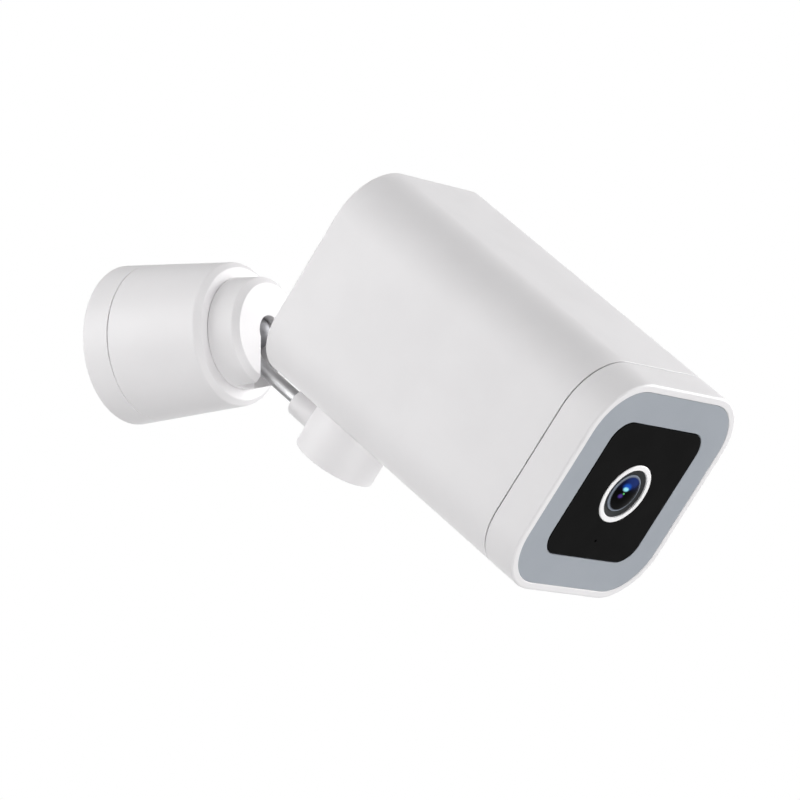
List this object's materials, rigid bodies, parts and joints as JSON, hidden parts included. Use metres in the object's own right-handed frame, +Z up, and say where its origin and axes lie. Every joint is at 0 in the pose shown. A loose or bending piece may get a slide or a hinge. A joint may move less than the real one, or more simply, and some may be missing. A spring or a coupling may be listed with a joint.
{
  "type": "floodlight security camera",
  "caption": "Wall-mounted floodlight camera: long square housing with a light ring round the lens, on a bent rod, ball joint and round wall base.",
  "frame": {"origin": "centre of the base's flat face that lies on the wall", "axes": "+Y goes into the wall, along the base's axis; +Z is up; +X is to the right of someone who faces the wall"},
  "size_m": [0.09, 0.2615, 0.1601],
  "materials": {
    "white_shell": "fine satin moulded plastic",
    "white_trim": "satin white ring",
    "frosted": "frosted translucent diffuser",
    "black_panel": "black gloss panel",
    "dark_plastic": "dark moulded plastic",
    "lens_glass": "coated lens",
    "steel": "satin turned steel",
    "brass": "turned brass",
    "aluminium": "cast and milled",
    "rubber": "moulded rubber",
    "slip_plastic": "low-friction plastic",
    "circuit": "circuit board",
    "cell_wrap": "shrink-wrapped cell"
  },
  "bodies": {
    "base": {"wall_plate": "white_shell", "base_housing": "white_shell", "base_lock_screw": "steel", "neck_seal": "rubber", "swivel_washer": "slip_plastic"},
    "neck": {"neck_collar": "white_shell", "neck_nut": "brass", "ball_cup": "slip_plastic", "disc_spring_front": "steel", "disc_spring_rear": "steel", "spring_plug": "brass"},
    "arm": {"ball": "steel", "arm_rod": "steel", "swivel_hub": "white_shell", "hub_cap": "white_shell", "hub_screw": "steel", "hub_washer": "slip_plastic", "rod_set_screw": "steel"},
    "camera": {"main_shell": "white_shell", "mount_insert": "brass", "front_bezel": "white_shell", "front_gasket": "rubber", "light_diffuser": "frosted", "black_panel": "black_panel", "microphone": "dark_plastic", "lens_ring": "white_trim", "lens_hood": "dark_plastic", "lens_glass": "lens_glass", "lens_barrel": "dark_plastic", "camera_bracket": "dark_plastic", "sensor_board": "circuit", "led_board": "circuit", "heat_sink": "aluminium", "main_board": "circuit", "antenna_board": "circuit", "battery_cell_left": "cell_wrap", "battery_cell_right": "cell_wrap", "battery_cradle": "dark_plastic", "speaker": "dark_plastic", "rear_cover": "white_shell", "rear_gasket": "rubber", "rear_screw_1": "steel", "rear_screw_2": "steel", "rear_screw_3": "steel", "rear_screw_4": "steel", "rear_board": "circuit", "charge_contact_left": "brass", "charge_contact_right": "brass"},
    "button": {"sync_button": "dark_plastic"}
  },
  "joints": [
    {"name": "neck_swivel", "type": "hinge", "parent": "base", "child": "neck", "pos_m": [0, -0.0549, 0], "axis": [0, -1, 0], "range_deg": [-180, 180]},
    {"name": "arm_tilt", "type": "hinge", "parent": "neck", "child": "arm", "pos_m": [0, -0.0605, 0], "axis": [-1, 0, 0], "range_deg": [0, 90]},
    {"name": "camera_pan", "type": "hinge", "parent": "arm", "child": "camera", "pos_m": [0, -0.10567, -0.0469], "axis": [0, -0.6205, 0.7842], "range_deg": [-90, 90]},
    {"name": "button_press", "type": "slide", "parent": "camera", "child": "button", "axis": [0, -0.7842, -0.6205], "range_m": [0, 0.0008], "stiffness_N_per_m": 600}
  ]
}
